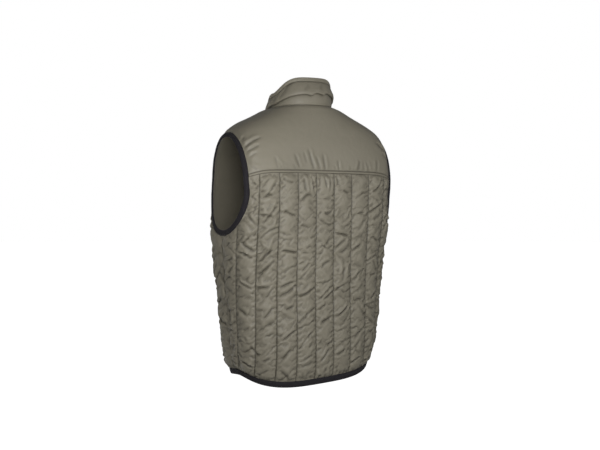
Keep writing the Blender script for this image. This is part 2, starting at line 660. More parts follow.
# Longer slanted folds inside the channels
def slantedAt(lines, low, high, seed, lean=1.0):
    rng = np.random.default_rng(seed)
    folds = []
    for left, right in zip(lines[:-1], lines[1:]):
        h = low + slants["aboveHem"] + rng.uniform(*slants["first"])
        while h < high:
            start = left + (right - left) * rng.uniform(*slants["start"])
            end = min(start + (right - left) * rng.uniform(*slants["long"]), right)
            drop = abs(end - start) * rng.uniform(*slants["slope"])
            far = h - drop if rng.random() < slants["downwards"] else h + drop * slants["upSlope"]
            upper, lower = highFirst(*([(start, h), (end, far)] if lean > 0 else [(end, h), (start, far)]))
            folds.append([*upper, *lower, rng.uniform(*slants["bow"]), rng.uniform(*slants["deep"]),
                          rng.uniform(*slants["wide"])])
            h += rng.uniform(*slants["apart"])
    return folds


# Crisp small creases in patches, running down towards the vest's left, and shorter ones across them
crinkleSizes = {"runS": 0.62, "runH": 0.78, "long": 26, "wide": 8.5, "crossLong": 30, "crossWide": 13,
                "crisp": 2.2, "tall": 0.8, "crossTall": 0.35, "patchWide": 70, "patchTall": 80,
                "patchEdge": 1.4, "patchShare": 0.55}


def crinkles(s, h, seed):
    size = crinkleSizes
    along = s * size["runS"] - h * size["runH"]
    across = s * size["runH"] + h * size["runS"]
    ridged = 1 - np.abs(hills(along / size["long"], across / size["wide"], seed)) * size["crisp"]
    crossing = hills(across / size["crossLong"], along / size["crossWide"], seed + 1)
    second = 1 - np.abs(crossing) * size["crisp"]
    patches = hills(s / size["patchWide"], h / size["patchTall"], seed + 2)
    patch = smooth(patches * size["patchEdge"] + size["patchShare"])
    return -(np.clip(ridged, 0, 1) ** 2 * size["tall"]
             + np.clip(second, 0, 1) ** 2 * size["crossTall"]) * patch


# Distance along a level, from where the turn starts, at which it meets the armhole's edge
def armholeEdge(levels, lengths, fromFront):
    p = clothPoint(math.pi / 2 - turns[None, :], levels[:, None])
    field = armholeField(p[..., 1], p[..., 2])
    half = lengthSteps // 2
    edges = []
    for j in range(len(levels)):
        row = field[j, half:][::-1] if fromFront else field[j, :half + 1]
        along = lengths[j, -1] - lengths[j, half:][::-1] if fromFront else lengths[j, :half + 1]
        inside = np.nonzero(row < 1)[0]
        if len(inside) == 0:
            edges.append(along[-1] - form["seamGap"] / 2)
            continue
        k = inside[0]
        edges.append(np.interp(0, [row[k] - 1, row[k - 1] - 1], [along[k], along[k - 1]]))
    return np.array(edges)


# The place across a channel, from 0 to 1. Past the last line it runs to the panel's end.
def channelFraction(d, first, step, count, end):
    inner = np.clip((d - first) / step, 0, count)
    k = np.minimum(np.floor(inner), count - 1)
    last = first + step * count
    outside = (d - last) / np.maximum(end - last, 1)
    return np.where(d <= last, inner - k, outside)


# How high the padding stands over the inner face, and its dome across the channel
def quiltedHeight(fraction, edgeDistance):
    dome = np.clip(1 - (2 * fraction - 1) ** 2, 0, 1) ** quilt["roundness"]
    fullness = mix(quilt["pinched"], 1, smooth(edgeDistance / quilt["pinch"]))
    return quilt["stitched"] + (quilt["crown"] - quilt["stitched"]) * dome * fullness, dome


# Vertex numbers for rows of one grid that end between low and high
def clampedIndex(grid, low, high):
    rows, columns = len(low), len(grid)
    number = np.arange(columns)
    index = np.zeros((rows, columns), int)
    for j in range(rows):
        first = max(np.searchsorted(grid, low[j], side="right") - 1, 0)
        last = min(np.searchsorted(grid, high[j], side="left"), columns - 1)
        index[j] = j * columns + np.clip(number, first, last)
    return index


def quiltRows():
    top = bodyRings[yokeLevel, 0] - form["seamGap"]
    heights = np.linspace(bodyRings[hemLevel, 0], top, quilt["rows"] + 1)
    levels = levelAtBack(heights)
    return heights, levels, lengthsAt(levels)


# The mean of a grid over a square of cells round each point
def blurred(values, reach):
    for axis in (0, 1):
        rows = np.moveaxis(values, axis, 0)
        longer = np.concatenate([np.repeat(rows[:1], reach, 0), rows, np.repeat(rows[-1:], reach, 0)])
        total = sum(longer[k:k + len(rows)] for k in range(2 * reach + 1))
        values = np.moveaxis(total / (2 * reach + 1), 0, axis)
    return values


# The stuffed face as cloth that is sewn down along its lines and edges and pushed out by the filling
def settled(outer, inner, normal, index, sewn):
    used, compact = compacted(index)
    start = outer.reshape(-1, 3)[used]
    faces = gridFaces(compact)
    out = normal.reshape(-1, 3)[used]
    first = start[faces[0][:3]]
    if np.dot(np.cross(first[1] - first[0], first[2] - first[0]), out[faces[0][0]]) < 0:
        faces = [face[::-1] for face in faces]
    mesh = bpy.data.meshes.new("settling")
    mesh.from_pydata((start * metre).tolist(), [], faces)
    cloth = linked("settling", mesh)
    group = cloth.vertex_groups.new(name="sewn")
    group.add(np.nonzero(sewn.reshape(-1)[used])[0].tolist(), 1.0, "REPLACE")
    modifier = cloth.modifiers.new("cloth", "CLOTH")
    modifier.point_cache.frame_end = filled["frames"]
    modifier.collision_settings.use_collision = False
    settings = modifier.settings
    settings.quality = filled["quality"]
    settings.mass = filled["mass"]
    settings.tension_stiffness = filled["stiffness"]
    settings.compression_stiffness = filled["stiffness"]
    settings.shear_stiffness = filled["shear"]
    settings.bending_stiffness = filled["bending"]
    settings.vertex_group_mass = "sewn"
    settings.use_pressure = True
    settings.uniform_pressure_force = filled["pressure"]
    settings.shrink_min = -filled["longer"]
    settings.effector_weights.gravity = 0
    for step in range(1, filled["frames"] + 1):
        bpy.context.scene.frame_set(step)
    evaluated = cloth.evaluated_get(bpy.context.evaluated_depsgraph_get())
    ended = np.zeros(len(used) * 3)
    evaluated.data.vertices.foreach_get("co", ended)
    moved = ended.reshape(-1, 3) / metre - start
    bpy.data.objects.remove(cloth)
    bpy.data.meshes.remove(mesh)
    bpy.context.scene.frame_set(1)
    far = np.linalg.norm(moved, axis=1, keepdims=True)
    moved *= filled["cap"] / np.maximum(far, filled["cap"])
    result = outer.reshape(-1, 3).copy()
    result[used] = start + moved
    height = ((result - inner.reshape(-1, 3)) * normal.reshape(-1, 3)).sum(1)
    result += normal.reshape(-1, 3) * np.maximum(filled["thinnest"] - height, 0)[:, None]
    print("cloth settled:", len(used), "points, moved", round(float(np.linalg.norm(moved, axis=1).mean()), 2),
          "mm on average")
    return result.reshape(outer.shape)


def sewnPoints(index, lineDistance):
    sewn = lineDistance < filled["sewnWithin"] * quilt["columnStep"]
    sewn[0] = True
    sewn[-1] = True
    flat = sewn.reshape(-1)
    flat[index[:, 0]] = True
    flat[index[:, -1]] = True
    return flat.reshape(sewn.shape)


# One quilted panel from its inner face: s and h are lengths over the cloth, fraction is the place in
# its channel, and lineDistance the distance to the nearest stitched line
def padCloth(name, node, inner, normal, s, h, fraction, lineDistance, folds, seed, index, uv):
    edgeDistance = np.minimum(np.minimum(h - h.min(), h.max() - h), armholeDistance(inner))
    height, dome = quiltedHeight(fraction, edgeDistance)
    held = mix(padding["heldAtLine"], 1, np.sqrt(dome))
    held = held * mix(padding["heldAtEdge"], 1, smooth(edgeDistance / padding["edge"]))
    relief = foldRelief(s, h, folds) * held * quilt["foldDepth"]
    small = crinkles(s, h, seed) * quilt["crinkle"] * held
    swell = hills(s / padding["swellWide"], h / padding["swellTall"], seed + 7) * padding["swell"] * dome
    height = np.maximum(height + relief + small + swell, filled["thinnest"])
    outer = inner + normal * height[..., None]
    outer = settled(outer, inner, normal, index, sewnPoints(index, lineDistance))
    height = ((outer - inner) * normal).sum(-1)
    hollow = blurred(height, padding["hollowReach"]) - height
    hollow = hollow * mix(padding["shadeAtLine"], 1, smooth(lineDistance / padding["lineWide"]))
    masks = {"fold": np.clip(hollow / padding["hollowDeep"], 0, 1),
             "seam": np.exp(-(lineDistance / padding["seamWide"]) ** 2)}
    piece = clothShell(name, outer, inner, index, uv, masks)
    finishPiece(piece, shellCloth, nodes=[node])
    return outer


# Where the stitches run: just proud of the cloth along each line, as far as the armhole's edge
def linePaths(lines, grid, edges, outer, normal):
    paths = []
    for line in lines:
        i = np.argmin(np.abs(grid - line))
        keep = np.abs(line) < edges - quilt["threadEnd"]
        paths.append(outer[keep, i] + normal[keep, i] * quilt["threadUp"])
    return paths


def backPanel():
    heights, levels, lengths = quiltRows()
    sides = lengths[:, lengthSteps // 2]
    edges = armholeEdge(levels, lengths, False)
    grid = np.arange(-quilt["columns"], quilt["columns"] + 1) * quilt["columnStep"]
    s = np.clip(grid[None, :], -edges[:, None], edges[:, None])
    h = np.repeat(heights[:, None], len(grid), 1)
    phi = anglesAt(lengths, s)
    level = levels[:, None] - dipAt(s, h[-1:] - h)
    inner = clothPoint(phi, level)
    normal = clothNormal(phi, level)
    half, count = quilt["channel"] / 2, quilt["linesOnBack"] // 2
    d = np.abs(s)
    outwards = channelFraction(d, half, quilt["channel"], count - 1, sides[:, None])
    fraction = np.where(d < half, (s + half) / (2 * half), outwards)
    lines = [half + quilt["channel"] * k for k in range(count)]
    near = np.min([np.abs(d - line) for line in lines], axis=0)
    allLines = sorted([-line for line in lines] + lines)
    low, high = heights[0], heights[-1]
    folds = backFolds + puckersAt(allLines, low, high, 11)
    folds += slantedAt([-quilt["sideLine"], *allLines[:3]], low, high, 12)
    folds += slantedAt(allLines[2:], low, high, 13)[::2]
    folds += slantedAt([allLines[-1], quilt["sideLine"]], low, high, 15)
    folds += gathersAt(grid[0], grid[-1], low, 16)
    outer = padCloth("quilted_back", "back_panel", inner, normal, s, h, fraction, near, folds, 14,
                     clampedIndex(grid, -edges, edges), np.stack([s, h], -1))
    return linePaths(allLines, grid, edges, outer, normal)


# A front is laid out from the zip; side is 1 for the vest's left and -1 for its right
def frontPanel(side):
    heights, levels, lengths = quiltRows()
    total = lengths[:, -1]
    sides = total - lengths[:, lengthSteps // 2]
    edges = armholeEdge(levels, lengths, True)
    atZip = form["zipClearance"]
    grid = atZip + np.arange(0, quilt["columns"] + 1) * quilt["columnStep"]
    d = np.clip(grid[None, :], atZip, edges[:, None])
    h = np.repeat(heights[:, None], len(grid), 1)
    phi = anglesAt(lengths, total[:, None] - d)
    if side < 0:
        phi = math.pi - phi
    inner = clothPoint(phi, levels[:, None])
    normal = clothNormal(phi, levels[:, None])
    count = quilt["linesOnFront"]
    fraction = channelFraction(d, atZip, quilt["channel"], count, sides[:, None])
    lines = [atZip + quilt["channel"] * k for k in range(1, count + 1)]
    near = np.min([np.abs(d - line) for line in lines], axis=0)
    low, high = heights[0], heights[-1]
    seed = 31 if side > 0 else 51
    folds = puckersAt(lines + [atZip], low, high, seed, -side)
    folds += slantedAt([atZip, *lines, quilt["sideLine"]], low, high, seed + 1, -side)
    folds += gathersAt(grid[0], grid[-1], low, seed + 3)
    folds = [[side * f[0], f[1], side * f[2], *f[3:]] for f in folds]
    index = clampedIndex(grid, np.full(len(levels), atZip), edges)
    word = "left" if side > 0 else "right"
    outer = padCloth("quilted_front_" + word, "front_" + word, inner, normal, d * side, h, fraction, near,
                     folds, seed + 2, index, np.stack([d, h], -1))
    return linePaths(lines, grid, edges, outer, normal)


quiltPaths = backPanel()
print("stage: quilted back ready")
quiltPaths += frontPanel(1) + frontPanel(-1)
print("stage: quilted fronts ready")

# Yoke: lightly padded plain cloth from the zip over both shoulders, ridged between two stitched lines
yokeSizes = {"columns": 540, "wall": 3.4, "stitched": 1.8, "ridge": 1.9, "ridgeWide": 7, "ridgeRound": 0.8,
             "rowStep": 2.7, "fromRidge": 10, "edge": 9, "edgeShare": 0.5, "thinnest": 1.2, "foldDepth": 1.2,
             "heldAtRidge": 6, "heldAtNeck": 12, "heldAtArmhole": 8, "swell": 0.9, "swellWide": 75,
             "swellTall": 60, "fine": 0.22, "fineWide": 22, "fineTall": 30, "fineCrisp": 2.4,
             "foldShade": 2.6, "seamWide": 1.5, "lowLine": 1.1, "threadUp": 0.2, "guides": 600}
# The rows that shape the ridge, in millimetres up from the seam
ridgeRows = np.array([0, 1.1, 2.2, 3.3, 4.4, 5.5, 6.3, 7, 7.8, 9.2, 11, 13.5, 16.5])
# Gathers above the seam on the hidden fronts
yokeGathers = {"count": 26, "from": 330, "to": 545, "high": -158, "low": -160, "tall": (10, 30),
               "sway": (-6, 6), "deep": (0.8, 1.6), "wide": 2.8}
yokeFolds = [
    [157, -84, 199, -110, 2, 2.2, 2.9], [190, -83, 206, -94, 0, 1.6, 3],
    [163, -101, 196, -119, 0, 1.9, 2.7], [192, -146, 170, -158, 0, 1.8, 3],
    [171, -118, 192, -132, 0, 1.0, 3], [121, -136, 112, -156, 0, 1.3, 2.6],
    [110, -143, 105, -156, 0, 1.0, 2.4], [128, -126, 123, -156, 0, 1.1, 3],
    [82, -142, 76, -156, 0, 1.1, 2.6], [76, -120, 67, -150, 0, 1.4, 3], [52, -114, 47, -138, 0, 0.9, 3],
    [39, -108, 27, -156, 1, 1.7, 3], [20, -124, 11, -156, 0, 1.4, 3], [1, -118, -2, -156, 0, 1.5, 3],
    [-38, -132, -40, -156, 0, 1.3, 2.6], [-28, -144, -33, -156, 0, 0.9, 2.4],
    [-99, -131, -92, -156, 0, 1.5, 3], [-108, -135, -110, -156, 0, 1.1, 2.6],
    [-118, -135, -124, -156, 0, 1.1, 2.6], [-72, -146, -70, -156, 0, 1.0, 2.4],
    [-150, -128, -146, -156, 0, 1.2, 3], [-159, -87, -197, -115, -2, 2.0, 4],
    [-172, -112, -196, -128, 0, 1.4, 4],
]


def yokeLevels():
    low = levelAtBack(bodyRings[yokeLevel, 0] + ridgeRows)
    dense = np.linspace(low[-1], neckLevel - form["underNeck"], yokeSizes["guides"])
    along = lengthsAlong(clothPoint(math.pi / 4, dense))
    count = int(along[-1] / yokeSizes["rowStep"])
    return np.concatenate([low, np.interp(np.linspace(0, along[-1], count + 1)[1:], along, dense)])


def frontStart(levels, lengths):
    return anglesAt(lengths, (lengths[:, -1] - form["zipClearance"])[:, None])[:, 0]


def gathersOnYoke(seed):
    rng = np.random.default_rng(seed)
    size, count = yokeGathers, yokeGathers["count"]
    places = rng.uniform(size["from"], size["to"], count) * rng.choice([-1, 1], count)
    folds = []
    for s in places.tolist():
        folds.append([s, size["high"] + rng.uniform(*size["tall"]), s + rng.uniform(*size["sway"]),
                      size["low"], 0, rng.uniform(*size["deep"]), size["wide"]])
    return folds


def yokeHeight(s, upCloth, toNeck, awayFromArmhole, relief):
    size = yokeSizes
    aboveRidge = upCloth - size["ridgeWide"]
    dome = np.clip(np.sin(math.pi * upCloth / size["ridgeWide"]), 0, 1) ** size["ridgeRound"]
    ridge = size["stitched"] + size["ridge"] * dome
    plain = size["stitched"] + (size["wall"] - size["stitched"]) * smooth(aboveRidge / size["fromRidge"])
    height = np.where(aboveRidge < 0, ridge, plain)
    held = smooth(aboveRidge / size["heldAtRidge"]) * smooth(toNeck / size["heldAtNeck"])
    held = held * smooth(awayFromArmhole / size["heldAtArmhole"])
    relief = relief * held * size["foldDepth"]
    swell = hills(s / size["swellWide"], upCloth / size["swellTall"], 72) * size["swell"]
    creased = 1 - np.abs(hills(s / size["fineWide"], upCloth / size["fineTall"], 73)) * size["fineCrisp"]
    fine = -np.clip(creased, 0, 1) ** 2 * size["fine"]
    height = height + relief + (swell + fine) * held
    edge = mix(size["edgeShare"], 1, smooth(np.minimum(toNeck, awayFromArmhole) / size["edge"]))
    return np.maximum(height * edge, size["thinnest"]), relief


def yoke():
    levels = yokeLevels()
    lengths = lengthsAt(levels)
    start = frontStart(levels, lengths)
    part = np.linspace(0, 1, yokeSizes["columns"] + 1)
    rows, columns = len(levels), len(part)
    phi = mix(start[:, None], math.pi - start[:, None], part[None, :])
    t = lengthsAlong(clothPoint(math.pi / 2, levels))
    s = np.stack([np.interp(np.abs(math.pi / 2 - phi[j]), turns, lengths[j]) for j in range(rows)])
    s *= np.where(phi <= math.pi / 2, 1, -1)
    level = np.repeat(levels[:, None], columns, 1)
    p = clothPoint(phi, level - dipAt(s, t[:, None]))
    outside = 9
    field = armholeField(p[..., 1], p[..., 2])
    field[np.abs(p[..., 0]) < armhole["sideFrom"]] = outside
    index = np.zeros((rows, columns), int)
    for i in range(columns):
        inside = np.nonzero(field[:, i] < 1)[0]
        first = 0
        if len(inside):
            first = inside[-1]
            f = (1 - field[first, i]) / (field[first + 1, i] - field[first, i])
            level[:first + 1, i] = mix(levels[first], levels[first + 1], f)
        index[:, i] = np.maximum(np.arange(rows), first) * columns + i
    upCloth = np.interp(level, levels, t)
    level = level - dipAt(s, upCloth)
    inner = clothPoint(phi, level)
    normal = clothNormal(phi, level)
    toNeck = t[-1] - upCloth
    relief = foldRelief(s, inner[..., 2], yokeFolds + gathersOnYoke(71))
    height, relief = yokeHeight(s, upCloth, toNeck, armholeDistance(inner), relief)
    seamLine = np.minimum(upCloth, np.abs(upCloth - yokeSizes["ridgeWide"]))
    masks = {"fold": np.clip(-relief / yokeSizes["foldShade"], 0, 1),
             "seam": np.exp(-(np.minimum(seamLine, toNeck) / yokeSizes["seamWide"]) ** 2)}
    outer = inner + normal * height[..., None]
    piece = clothShell("yoke_cloth", outer, inner, index, np.stack([s, upCloth], -1), masks)
    finishPiece(piece, yokeCloth, nodes=["yoke"])
    # the seam's two stitched lines, left out where the armhole cuts them
    paths = []
    clearOver, shortest = 1.02, 3
    for up in (yokeSizes["lowLine"], yokeSizes["ridgeWide"]):
        j = int(np.argmin(np.abs(t - up)))
        line = outer[j] + normal[j] * yokeSizes["threadUp"]
        clear = field[j] > clearOver
        cuts = np.nonzero(np.diff(clear.astype(int)))[0] + 1
        for stretch in np.split(np.arange(columns), cuts):
            if clear[stretch[0]] and len(stretch) > shortest:
                paths.append(line[stretch])
    return paths


yokePaths = yoke()
print("stage: yoke ready")

# Collar: a lower band, a wavy fold that the fuller upper band rolls over, and a top-stitched strip
collarSizes = {"columns": 420, "strip": 10, "roll": 5.4, "rowsPerStop": 3, "stripStop": 14, "foldStop": 5.8,
               "foldWide": 1.3, "foldDark": 1.4, "foldShade": 2.6, "lowest": 0.6, "underTop": 0.05,
               "thinnest": 1.6, "swell": 0.7, "swellWide": 28, "swellTall": 26, "seamWide": 0.9,
               "threadUp": 0.2, "guides": 61, "rollEnds": 0.9, "rollEase": 0.7, "foldsFrom": 4,
               "foldsRise": 5, "foldsFall": 6, "swellFrom": 3, "swellRise": 5, "swellFall": 9,
               "neckSeam": 1.5}
collarFoldLine = [
    # length from the centre back, height of the fold above the neck seam
    [-230, 8], [-130, 11], [-95, 19], [-70, 26], [-46, 30], [-33, 33], [-22, 27.5], [-11, 30.5], [-2, 31],
    [10, 24.5], [20, 27.5], [31, 27], [57, 23], [75, 18], [95, 12], [130, 8], [230, 8],
]
collarFolds = [
    [50, 62, 84, 16, 2, 1.4, 5], [74, 52, 104, 12, 0, 1.5, 4], [98, 46, 128, 10, 0, 1.4, 5],
    [-24, 56, -14, 38, 0, 0.9, 5], [12, 52, 26, 34, 0, 0.8, 5], [-60, 54, -86, 22, 0, 1.3, 5],
    [-92, 50, -122, 12, 0, 1.4, 5], [140, 44, 156, 12, 0, 1.2, 5], [-146, 46, -160, 12, 0, 1.2, 5],
]


# Stops up the collar: a height along the cloth and how far it stands out of it
def collarStops(top, fold, strip, roll):
    spread = strip - fold
    return [
        (1.0, 2.0), (2.6, 2.0), (4.6, 3.4), (fold * 0.5, 4.2), (fold - 4.5, 3.6),
        # under the roll, round it and up its outside
        (fold - 1.6, 2.6), (fold - 0.6, 2.6 + 0.1 * roll), (fold - 2.0, 3.6 + 0.5 * roll),
        (fold - 1.4, 4.0 + 0.85 * roll), (fold + 1.2, 4.2 + roll), (fold + 6, 4.2 + roll),
        (fold + spread * 0.45, 4.2 + 0.75 * roll),
        # the stitched line and the strip above it
        (strip - 4, 4.0 + 0.2 * roll), (strip - 1, 3.0), (strip, 2.5), (strip + 1, 3.1), (strip + 3, 4.0),
        (top - 3, 4.1), (top - 1.2, 3.9), (top - 0.2, 2.7),
    ]


def collar():
    size = collarSizes
    part = np.linspace(0, 1, size["columns"] + 1)
    columns = len(part)
    guide = np.linspace(neckLevel + form["overNeck"], topLevel, size["guides"])
    lengths = lengthsAt(guide)
    start = frontStart(guide, lengths)
    phiTop = mix(start[-1], math.pi - start[-1], part)
    column = clothPoint(phiTop[None, :], guide[:, None])
    steps = np.linalg.norm(np.diff(column, axis=0), axis=2)
    tall = np.concatenate([np.zeros((1, columns)), np.cumsum(steps, axis=0)])
    top = tall[-1]
    around = np.interp(np.abs(math.pi / 2 - phiTop), turns, lengths[size["guides"] // 2])
    around = around * np.where(phiTop <= math.pi / 2, 1, -1)
    line = np.array(collarFoldLine)
    fold = np.interp(around, line[:, 0], line[:, 1])
    fold = np.convolve(np.pad(fold, 1, mode="edge"), [0.25, 0.5, 0.25], mode="valid")
    # the roll fades out towards the zip
    roll = size["roll"] * smooth((np.sin(phiTop) + size["rollEnds"]) / size["rollEase"])
    strip = top - size["strip"]
    stops = collarStops(top, fold, strip, roll)
    ups = np.stack([np.broadcast_to(u, top.shape) for u, out in stops])
    outs = np.stack([np.broadcast_to(out, top.shape) for u, out in stops])
    rows = (len(stops) - 1) * size["rowsPerStop"] + 1
    where = np.linspace(0, len(stops) - 1, rows)
    table = np.stack([ups, outs], -1).reshape(len(stops), -1)
    smoothRows = rowAt(table, where).reshape(rows, columns, 2)
    up, out = smoothRows[..., 0], smoothRows[..., 1]
    highest = top[None, :] - size["underTop"]
    up = np.clip(up, size["lowest"], highest)

    def placeAt(heights):
        level = np.stack([np.interp(heights[:, i], tall[:, i], guide) for i in range(columns)], 1)
        startAt = np.interp(level, guide, start)
        return mix(startAt, math.pi - startAt, part[None, :]), level

    phi, level = placeAt(up)
    inner = clothPoint(phi, level)
    normal = clothNormal(phi, level)
    s = np.repeat(around[None, :], rows, 0)
    relief = foldRelief(s, up, collarFolds) * smooth((up - size["foldsFrom"]) / size["foldsRise"])
    relief = relief * smooth((top[None, :] - size["foldsFrom"] - up) / size["foldsFall"])
    swell = hills(s / size["swellWide"], up / size["swellTall"], 91) * size["swell"]
    swell = swell * smooth((up - size["swellFrom"]) / size["swellRise"])
    swell = swell * smooth((top[None, :] - up) / size["swellFall"])
    out = np.maximum(out + relief + swell, size["thinnest"])
    outer = inner + normal * out[..., None]
    # the inner side goes straight up, so that the rolled cloth isn't doubled inside
    innerSide = clothPoint(*placeAt(mix(size["lowest"], highest, np.linspace(0, 1, rows)[:, None])))
    index = np.arange(rows * columns).reshape(rows, columns)
    toSeam = np.minimum(np.abs(up - strip[None, :]), np.maximum(up - size["neckSeam"], 0))
    underRoll = np.exp(-((where[:, None] - size["foldStop"]) / size["foldWide"]) ** 2) * size["foldDark"]
    masks = {"fold": np.clip(underRoll + np.clip(-relief / size["foldShade"], 0, 1), 0, 1),
             "seam": np.exp(-(toSeam / size["seamWide"]) ** 2)}
    piece = clothShell("collar_cloth", outer, innerSide, index, np.stack([s, up], -1), masks)
    finishPiece(piece, yokeCloth, nodes=["collar"])
    j = size["stripStop"] * size["rowsPerStop"]
    return [outer[j] + normal[j] * size["threadUp"]]


collarPaths = collar()
print("stage: collar ready")

# Elastic bindings: ribbed bands round the armholes and the hem
bindingSizes = {"rib": 2.2, "ribDeep": 0.16, "width": 12, "stations": 1300, "hemStations": 2200, "wave": 0.35,
                "waveLong": 19, "stitchAt": 0.86, "stitchUp": 4.15, "hemStitchAt": 0.8, "hemStitchUp": 4.25}
# Cross-sections: how far across the band, how high over the cloth, and how much of the ribbing shows.
# The armhole's goes from its free edge round the outside to the panel and back underneath.
armholeProfile = [
    (0.0, 0.9, 0), (-0.02, 2.0, 0.5), (0.05, 3.1, 1), (0.18, 3.9, 1), (0.4, 4.2, 1), (0.65, 4.2, 1),
    (0.85, 4.0, 1), (0.95, 3.7, 0.6), (1.06, 3.4, 0.2), (1.1, 2.9, 0), (1.06, 2.5, 0), (0.98, 2.3, 0),
    (0.97, 0.3, 0), (0.6, -0.2, 0), (0.15, -0.3, 0),
]
# The hem's goes from the panel round the outside and back underneath, in levels of the body's rings
hemProfile = [
    (0.98, 0.0, 0), (1.04, 0.2, 0), (1.04, 3.4, 0), (0.98, 4.0, 0.4), (0.8, 4.2, 1), (0.5, 4.2, 1),
    (0.22, 3.9, 1), (0.06, 3.1, 0.8), (0.0, 2.0, 0.3), (0.03, 0.9, 0), (0.16, 0.1, 0), (0.5, 0, 0),
]


# The angle and level of the cloth's points on the vest's left that lie at y and z, by halving
def placeOnSide(y, z):
    lowest, levelSteps, turnSteps = 5.0, 26, 24
    lowLevel, highLevel = np.full(y.shape, lowest), np.full(y.shape, float(neckLevel))
    phi = np.zeros(y.shape)
    for _ in range(levelSteps):
        level = (lowLevel + highLevel) / 2
        ring = ringAt(level)
        a, b = np.full(y.shape, -math.pi / 2), np.full(y.shape, math.pi / 2)
        for _ in range(turnSteps):
            phi = (a + b) / 2
            less = pointOn(ring, phi)[..., 1] < y
            a, b = np.where(less, phi, a), np.where(less, b, phi)
        below = pointOn(ring, phi)[..., 2] < z
        lowLevel, highLevel = np.where(below, level, lowLevel), np.where(below, highLevel, level)
    return phi, (lowLevel + highLevel) / 2


def ribbed(along, seed):
    wave = hills(along / bindingSizes["waveLong"], 0 * along + 0.5, seed) * bindingSizes["wave"]
    return bindingSizes["ribDeep"] * np.sin(2 * math.pi * along / bindingSizes["rib"]) + wave


def alongX(lift):
    return np.stack([lift, 0 * lift, 0 * lift], -1)


def armholeBinding():
    steepest = 0.5
    turn = np.linspace(0, 2 * math.pi, bindingSizes["stations"], endpoint=False)
    y, z = armholeOutline(turn)
    phi, level = placeOnSide(y, z)
    sewn, sewnNormal = clothPoint(phi, level), clothNormal(phi, level)
    ahead = np.roll(sewn, -1, axis=0) - np.roll(sewn, 1, axis=0)
    inwards = -unit(np.cross(ahead, sewnNormal))
    target = sewn + inwards * bindingSizes["width"]
    freePhi, freeLevel = placeOnSide(target[:, 1], target[:, 2])
    free, freeNormal = clothPoint(freePhi, freeLevel), clothNormal(freePhi, freeLevel)
    along = lengthsAlong(sewn)
    ribs = ribbed(along, 101)
    sections = []
    for part, height, rib in armholeProfile:
        facing = np.maximum(freeNormal[:, 0] * (1 - part) + sewnNormal[:, 0] * part, steepest)
        sections.append(free + (sewn - free) * part + alongX((height + rib * ribs) / facing))
    stitch = free + (sewn - free) * bindingSizes["stitchAt"]
    stitch = stitch + alongX(bindingSizes["stitchUp"] / np.maximum(sewnNormal[:, 0], steepest))
    return np.stack(sections, 1), along, stitch


def hemBinding():
    part = np.linspace(0, 1, bindingSizes["hemStations"])
    sections = []
    for level, height, rib in hemProfile:
        levels = np.array([level])
        start = frontStart(levels, lengthsAt(levels))[0]
        phi = mix(start, math.pi - start, part)
        point, normal = clothPoint(phi, level), clothNormal(phi, np.full(phi.shape, level))
        if not sections:
            along = lengthsAlong(point)
            ribs = ribbed(along, 103)
        sections.append(point + normal * (height + rib * ribs)[:, None])
        if level == bindingSizes["hemStitchAt"]:
            stitch = point + normal * bindingSizes["hemStitchUp"]
    return np.stack(sections, 1), along, stitch


def mirroredX(points):
    return points * np.array([-1, 1, 1])


armSections, armAlong, armStitch = armholeBinding()
for bindingSide, sideWord in ((1, "left"), (-1, "right")):
    shaped = armSections if bindingSide > 0 else mirroredX(armSections)
    band = bandObject("armhole_elastic_" + sideWord, shaped, True, armAlong)
    finishPiece(band, elasticCloth, nodes=["armhole_binding_" + sideWord])
hemSections, hemAlong, hemStitch = hemBinding()
hemBand = bandObject("hem_elastic", hemSections, False, hemAlong)
finishPiece(hemBand, elasticCloth, nodes=["hem_binding"])
print("stage: elastic bindings ready")


# Geometry Nodes that set small parts along a path: stitches and zip teeth
def alongPathTree(name, makePart):
    tree = bpy.data.node_groups.new(name, "GeometryNodeTree")
    face = tree.interface
    face.new_socket(name="Path", in_out="INPUT", socket_type="NodeSocketGeometry")
    sockets = {}
    for label, value in (("Spacing", 0.003), ("Long", 0.002), ("Thick", 0.0005), ("Unevenness", 0.0)):
        socket = face.new_socket(name=label, in_out="INPUT", socket_type="NodeSocketFloat")
        socket.default_value = value
        sockets[label] = socket.identifier
    for label, kind in (("Seed", "NodeSocketInt"), ("Finish", "NodeSocketMaterial")):
        sockets[label] = face.new_socket(name=label, in_out="INPUT", socket_type=kind).identifier
    face.new_socket(name="Parts", in_out="OUTPUT", socket_type="NodeSocketGeometry")
    given, put = newNode(tree, "NodeGroupInput").outputs, newNode(tree, "NodeGroupOutput")
    curve = newNode(tree, "GeometryNodeMeshToCurve", {"Mesh": given["Path"]}).outputs["Curve"]
    spots = newNode(tree, "GeometryNodeCurveToPoints", {"Curve": curve, "Length": given["Spacing"]},
                    mode="LENGTH").outputs
    turn = newNode(tree, "FunctionNodeAlignRotationToVector", {"Vector": spots["Tangent"]}, axis="X")
    part = makePart(tree, given)
    least, most = (mathNode(tree, kind, 1, given["Unevenness"]) for kind in ("SUBTRACT", "ADD"))
    vary = newNode(tree, "FunctionNodeRandomValue", {2: least, 3: most, "Seed": given["Seed"]},
                   data_type="FLOAT")
    parts = newNode(tree, "GeometryNodeInstanceOnPoints",
                    {"Points": spots["Points"], "Instance": part, "Rotation": turn.outputs["Rotation"],
                     "Scale": vary.outputs[1]}).outputs["Instances"]
    real = newNode(tree, "GeometryNodeRealizeInstances", {"Geometry": parts}).outputs["Geometry"]
    finish = newNode(tree, "GeometryNodeSetMaterial", {"Geometry": real, "Material": given["Finish"]})
    feed(tree, put, {"Parts": finish.outputs["Geometry"]})
    return tree, sockets


def sized(tree, shape, long, wide, high):
    scale = newNode(tree, "ShaderNodeCombineXYZ", {0: long, 1: wide, 2: high}).outputs[0]
    return newNode(tree, "GeometryNodeTransform", {"Geometry": shape, "Scale": scale}).outputs["Geometry"]


